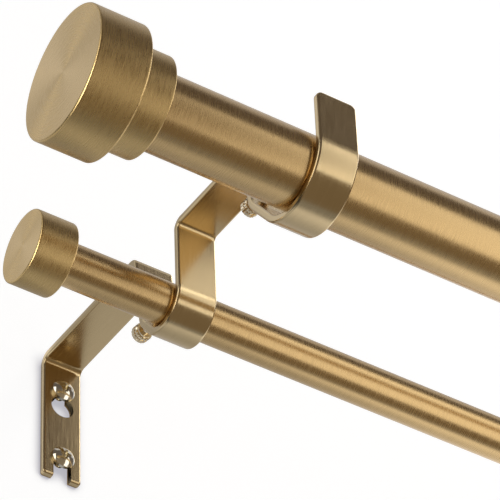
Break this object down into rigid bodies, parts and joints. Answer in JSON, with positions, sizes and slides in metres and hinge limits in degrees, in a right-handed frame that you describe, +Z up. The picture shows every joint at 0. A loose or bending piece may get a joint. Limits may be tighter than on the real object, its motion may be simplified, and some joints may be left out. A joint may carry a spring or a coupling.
{
  "type": "double curtain pole",
  "caption": "Thick front and thin rear telescoping curtain poles with round end caps, carried on wall brackets bent from flat strip and held by knurled thumb screws.",
  "frame": {"origin": "on the wall face of the left bracket's plate, midway between its two wall screws", "axes": "+X along the poles from the left bracket to the right one, +Y into the wall, +Z up"},
  "size_m": [0.762, 0.2338, 0.0762],
  "materials": {
    "pole_finish": "steel tube with a brushed antique brass finish",
    "cap_finish": "turned cap with a brushed antique brass finish and a spun face",
    "bracket_finish": "flat steel strip with a satin antique brass finish",
    "wall_screw_steel": "polished plated steel",
    "clamp_screw_steel": "polished brass-plated steel",
    "stud_steel": "plain zinc-plated steel",
    "plug_plastic": "plain moulded plastic"
  },
  "bodies": {
    "left_side": {"left_bracket": "bracket_finish", "front_outer_tube": "pole_finish", "rear_outer_tube": "pole_finish", "left_upper_wall_screw": "wall_screw_steel", "left_lower_wall_screw": "wall_screw_steel", "left_front_cap": "cap_finish", "left_front_plug": "plug_plastic", "left_front_stud": "stud_steel", "left_rear_cap": "cap_finish", "left_rear_plug": "plug_plastic", "left_rear_stud": "stud_steel"},
    "right_support": {"right_bracket": "bracket_finish", "right_upper_wall_screw": "wall_screw_steel", "right_lower_wall_screw": "wall_screw_steel"},
    "front_inner": {"front_inner_tube": "pole_finish", "right_front_cap": "cap_finish", "right_front_plug": "plug_plastic", "right_front_stud": "stud_steel"},
    "rear_inner": {"rear_inner_tube": "pole_finish", "right_rear_cap": "cap_finish", "right_rear_plug": "plug_plastic", "right_rear_stud": "stud_steel"},
    "left_front_clamp_screw": {"left_front_clamp_screw": "clamp_screw_steel"},
    "left_rear_clamp_screw": {"left_rear_clamp_screw": "clamp_screw_steel"},
    "right_front_clamp_screw": {"right_front_clamp_screw": "clamp_screw_steel"},
    "right_rear_clamp_screw": {"right_rear_clamp_screw": "clamp_screw_steel"}
  },
  "joints": [
    {"name": "support_spacing", "type": "slide", "parent": "left_side", "child": "right_support", "axis": [1, 0, 0], "range_m": [0, 0.406]},
    {"name": "front_pole_trim", "type": "slide", "parent": "right_support", "child": "front_inner", "axis": [1, 0, 0], "range_m": [-0.051, 0.051]},
    {"name": "rear_pole_trim", "type": "slide", "parent": "right_support", "child": "rear_inner", "axis": [1, 0, 0], "range_m": [-0.04, 0.051]},
    {"name": "left_front_clamp_turn", "type": "hinge", "parent": "left_side", "child": "left_front_clamp_screw", "pos_m": [0, -0.16108, -0.00548], "axis": [0, 0.9703, 0.2419], "range_deg": [0, 1080]},
    {"name": "left_rear_clamp_turn", "type": "hinge", "parent": "left_side", "child": "left_rear_clamp_screw", "pos_m": [0, -0.0797, -0.00424], "axis": [0, 0.9703, 0.2419], "range_deg": [0, 1080]},
    {"name": "right_front_clamp_turn", "type": "hinge", "parent": "right_support", "child": "right_front_clamp_screw", "pos_m": [0.566, -0.16468, -0.00457], "axis": [0, 0.9703, 0.2419], "range_deg": [0, 1080]},
    {"name": "right_rear_clamp_turn", "type": "hinge", "parent": "right_support", "child": "right_rear_clamp_screw", "pos_m": [0.566, -0.0827, -0.00318], "axis": [0, 0.9703, 0.2419], "range_deg": [0, 1080]}
  ]
}
